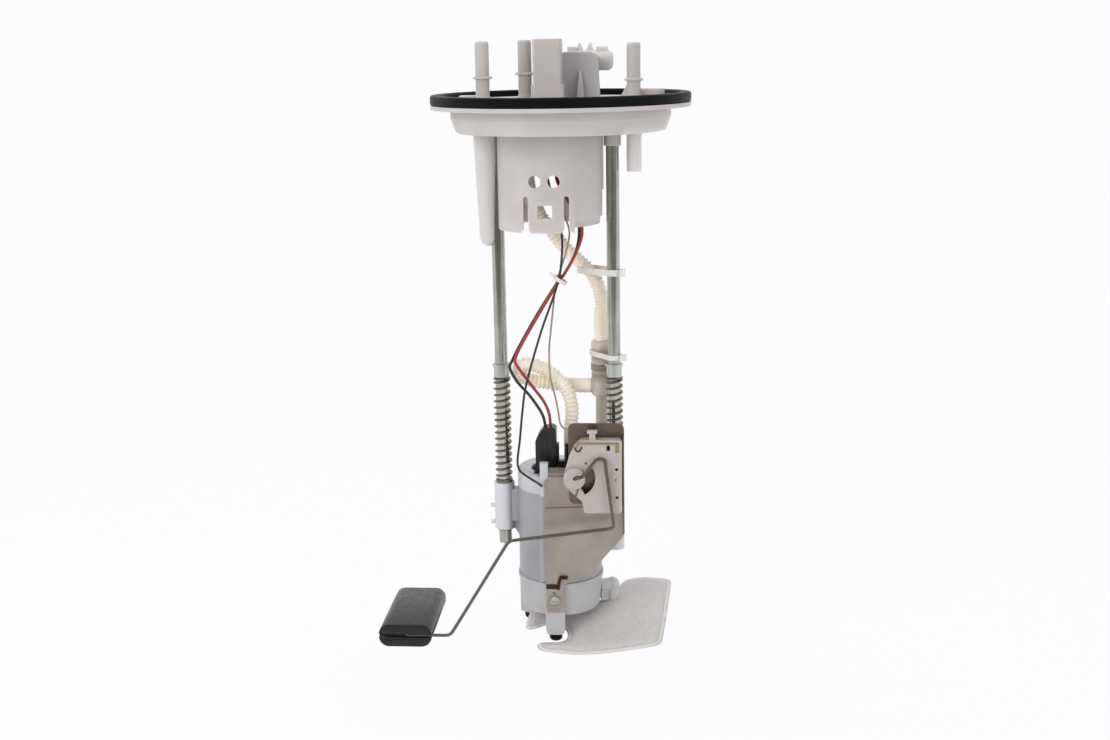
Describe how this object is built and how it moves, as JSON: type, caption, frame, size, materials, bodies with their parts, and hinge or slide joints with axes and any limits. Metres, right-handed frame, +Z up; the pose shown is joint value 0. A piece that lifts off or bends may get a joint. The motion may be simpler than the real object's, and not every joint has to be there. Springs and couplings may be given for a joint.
{
  "type": "fuel pump module",
  "caption": "In-tank fuel pump module: sealed tank flange with pipe stubs and socket, sprung guide rods, sliding reservoir with pump, level sender arm and float, and strainer.",
  "frame": {"origin": "centre of the flange's seat, on the axis of the spigot", "axes": "+Z up out of the tank, +Y to the back, +X to the right as the level sender is faced"},
  "size_m": [0.187, 0.15, 0.3613],
  "materials": {
    "nylon_grey": "moulded, faint texture",
    "nylon_pale": "moulded, satin",
    "can_plastic": "moulded, satin",
    "sensor_grey": "moulded, satin",
    "black_plastic": "moulded, satin",
    "hose_plastic": "translucent, satin",
    "rubber_black": "moulded, matt",
    "float_foam": "closed-cell foam, matt",
    "steel_tube": "drawn, brushed",
    "steel_spring": "drawn, plain",
    "steel_sheet": "rolled, satin",
    "steel_dark": "dark plating",
    "collar_metal": "turned",
    "brass": "stamped",
    "copper": "wound wire and segments",
    "magnet": "sintered",
    "ceramic": "fired, stands for ceramic",
    "wire_red": "insulation",
    "wire_tan": "insulation",
    "mesh": "woven mesh, welded hem"
  },
  "bodies": {
    "flange_unit": {"flange": "nylon_grey", "seal_ring": "rubber_black", "socket_terminals": "brass", "pressure_sensor": "sensor_grey", "vent_valve": "nylon_pale", "skirt": "nylon_grey", "rod_left": "steel_tube", "rod_right": "steel_tube", "spring_collars": "collar_metal", "rod_clip": "steel_dark", "inner_plug": "nylon_pale", "hose_delivery": "hose_plastic", "hose_tie": "nylon_pale", "wire_tie": "nylon_pale", "regulator_body": "nylon_pale", "regulator_band": "black_plastic", "regulator_tie": "nylon_pale", "return_tube": "nylon_pale", "relief_spring": "steel_spring"},
    "relief_ball": {"relief_ball": "steel_tube"},
    "reservoir": {"reservoir_can": "can_plastic", "reservoir_cap": "nylon_pale", "reservoir_cup": "nylon_grey", "rubber_feet": "rubber_black", "umbrella_valve": "rubber_black", "pump_case": "steel_tube", "pump_end_cap": "black_plastic", "pump_inlet_plate": "black_plastic", "pump_magnets": "magnet", "pump_brushes": "magnet", "brush_springs": "steel_spring", "pump_isolator": "rubber_black", "check_spring": "steel_spring", "pump_plug": "black_plastic", "hose_pump": "hose_plastic", "spring_left": "steel_spring", "spring_right": "steel_spring", "wire_red": "wire_red", "wire_black": "black_plastic", "sender_wire_black": "black_plastic", "sender_wire_tan": "wire_tan", "sender_bracket": "steel_sheet", "sender_plate": "steel_dark", "sender_housing": "nylon_grey", "resistor_card": "ceramic", "sender_contacts": "brass", "sender_clip": "steel_dark", "bracket_screw": "steel_tube", "strainer_sock": "mesh", "strainer_neck": "nylon_pale"},
    "check_poppet": {"check_poppet": "nylon_pale"},
    "rotor": {"armature": "copper", "commutator": "copper", "motor_shaft": "steel_tube", "impeller": "nylon_pale"},
    "float_arm": {"float_wire": "steel_spring", "arm_hub": "nylon_pale", "wiper": "brass", "float": "float_foam"}
  },
  "joints": [
    {"name": "reservoir_slide", "type": "slide", "parent": "flange_unit", "child": "reservoir", "axis": [0, 0, 1], "range_m": [0, 0.02], "stiffness_N_per_m": 600, "springref_m": -0.02, "deforming": ["spring_left", "spring_right", "hose_pump", "wire_red", "wire_black", "sender_wire_black", "sender_wire_tan"]},
    {"name": "arm_pivot", "type": "hinge", "parent": "reservoir", "child": "float_arm", "pos_m": [0.0074, -0.036, -0.2116], "axis": [0, 1, 0], "range_deg": [0, 80]},
    {"name": "rotor_spin", "type": "hinge", "parent": "reservoir", "child": "rotor", "pos_m": [-0.0043, 0, -0.259], "axis": [0, 0, 1], "continuous": true},
    {"name": "check_lift", "type": "slide", "parent": "reservoir", "child": "check_poppet", "axis": [0, 0, 1], "range_m": [0, 0.002], "stiffness_N_per_m": 20, "springref_m": -0.002, "deforming": ["check_spring"]},
    {"name": "relief_lift", "type": "slide", "parent": "flange_unit", "child": "relief_ball", "axis": [0, 0, -1], "range_m": [0, 0.0012], "stiffness_N_per_m": 400, "springref_m": -0.002, "deforming": ["relief_spring"]}
  ]
}
